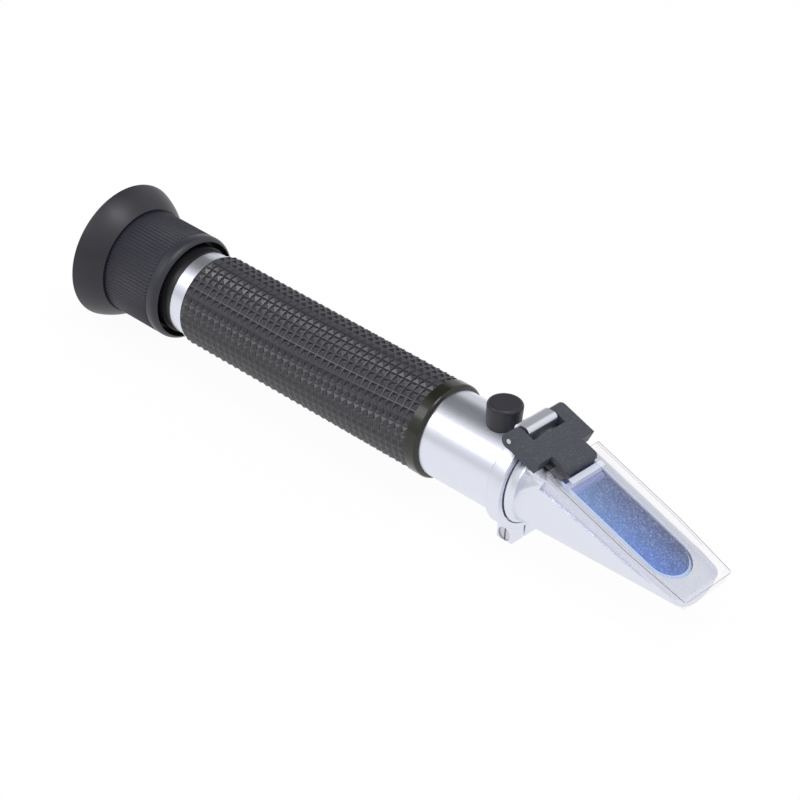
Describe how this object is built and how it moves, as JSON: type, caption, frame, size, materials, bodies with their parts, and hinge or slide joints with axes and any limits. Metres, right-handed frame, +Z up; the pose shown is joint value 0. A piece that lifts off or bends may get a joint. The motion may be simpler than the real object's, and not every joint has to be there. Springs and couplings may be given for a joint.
{
  "type": "handheld refractometer",
  "caption": "Handheld refractometer: focusing eyepiece with rubber eyecup, textured grip tube, calibration screw under a cap, and a sloping prism with a hinged clear cover.",
  "frame": {"origin": "point on the surface that it lies on, under the middle of its length", "axes": "+X along the optical axis from the eyepiece to the nose, +Z up through the cover hinge, +Y to the side"},
  "size_m": [0.2134, 0.0406, 0.0406],
  "materials": {
    "silver_tube": "satin anodised, turned",
    "silver_casting": "satin plated casting",
    "black_rubber": "smooth matt rubber",
    "grip_rubber": "semi-gloss moulded rubber",
    "ring_plastic": "fine matt, ribbed",
    "hinge_plastic": "fine spark grain",
    "gloss_black": "glossy",
    "black_anodised": "black anodised",
    "lens_glass": "polished, coated",
    "prism_glass": "polished, blue",
    "clear_acrylic": "clear, frosted underneath",
    "steel": "turned steel",
    "brass": "turned brass",
    "sealant": "cured sealant"
  },
  "bodies": {
    "tube_body": {"main_tube": "silver_tube", "grip_sleeve": "grip_rubber", "grip_end_ring": "gloss_black", "eyepiece_barrel": "black_anodised", "reticle": "lens_glass", "reticle_holder": "black_anodised", "reticle_retainer": "black_anodised", "light_baffle_back": "black_anodised", "light_baffle_front": "black_anodised", "bimetal_strip": "steel", "strip_anchor": "brass", "strip_screws": "steel", "calibration_bush": "brass", "hinge_collar": "silver_casting", "clamp_screw": "steel", "prism_housing": "silver_casting", "prism": "prism_glass", "prism_seal": "sealant"},
    "lens_carrier": {"lens_cell": "black_anodised", "eye_lens": "lens_glass", "field_lens": "lens_glass", "lens_spacer": "black_anodised", "eye_lens_retainer": "black_anodised"},
    "focus_grip": {"focus_ring": "ring_plastic", "eyecup": "black_rubber"},
    "objective_carrier": {"objective_holder": "brass", "objective_lens": "lens_glass", "objective_retainer": "brass"},
    "adjuster": {"calibration_screw": "steel"},
    "rubber_cap": {"calibration_cap": "black_rubber"},
    "cover": {"hinge_block": "hinge_plastic", "hinge_pin": "steel", "cover_plate": "clear_acrylic"}
  },
  "joints": [
    {"name": "cover_hinge", "type": "hinge", "parent": "tube_body", "child": "cover", "pos_m": [0.04772, 0, 0.03665], "axis": [0, -1, 0], "range_deg": [0, 110]},
    {"name": "focus_slide", "type": "slide", "parent": "tube_body", "child": "lens_carrier", "axis": [1, 0, 0], "range_m": [-0.003, 0.003]},
    {"name": "focus_turn", "type": "hinge", "parent": "lens_carrier", "child": "focus_grip", "pos_m": [-0.08673, 0, 0.0203], "axis": [1, 0, 0], "range_deg": [-270, 270]},
    {"name": "calibration_turn", "type": "hinge", "parent": "tube_body", "child": "adjuster", "pos_m": [0.03727, 0, 0.0343], "axis": [0, 0, 1], "range_deg": [-180, 180]},
    {"name": "objective_shift", "type": "slide", "parent": "tube_body", "child": "objective_carrier", "axis": [0, 0, 1], "range_m": [-0.00025, 0.00025]},
    {"name": "cap_lift", "type": "slide", "parent": "tube_body", "child": "rubber_cap", "axis": [0, 0, 1], "range_m": [0, 0.008]}
  ],
  "couplings": [
    {"joint": "focus_slide", "follows": "focus_turn", "m_per_rad": 0.0006366},
    {"joint": "calibration_turn", "follows": "objective_shift", "rad_per_m": -12566}
  ]
}
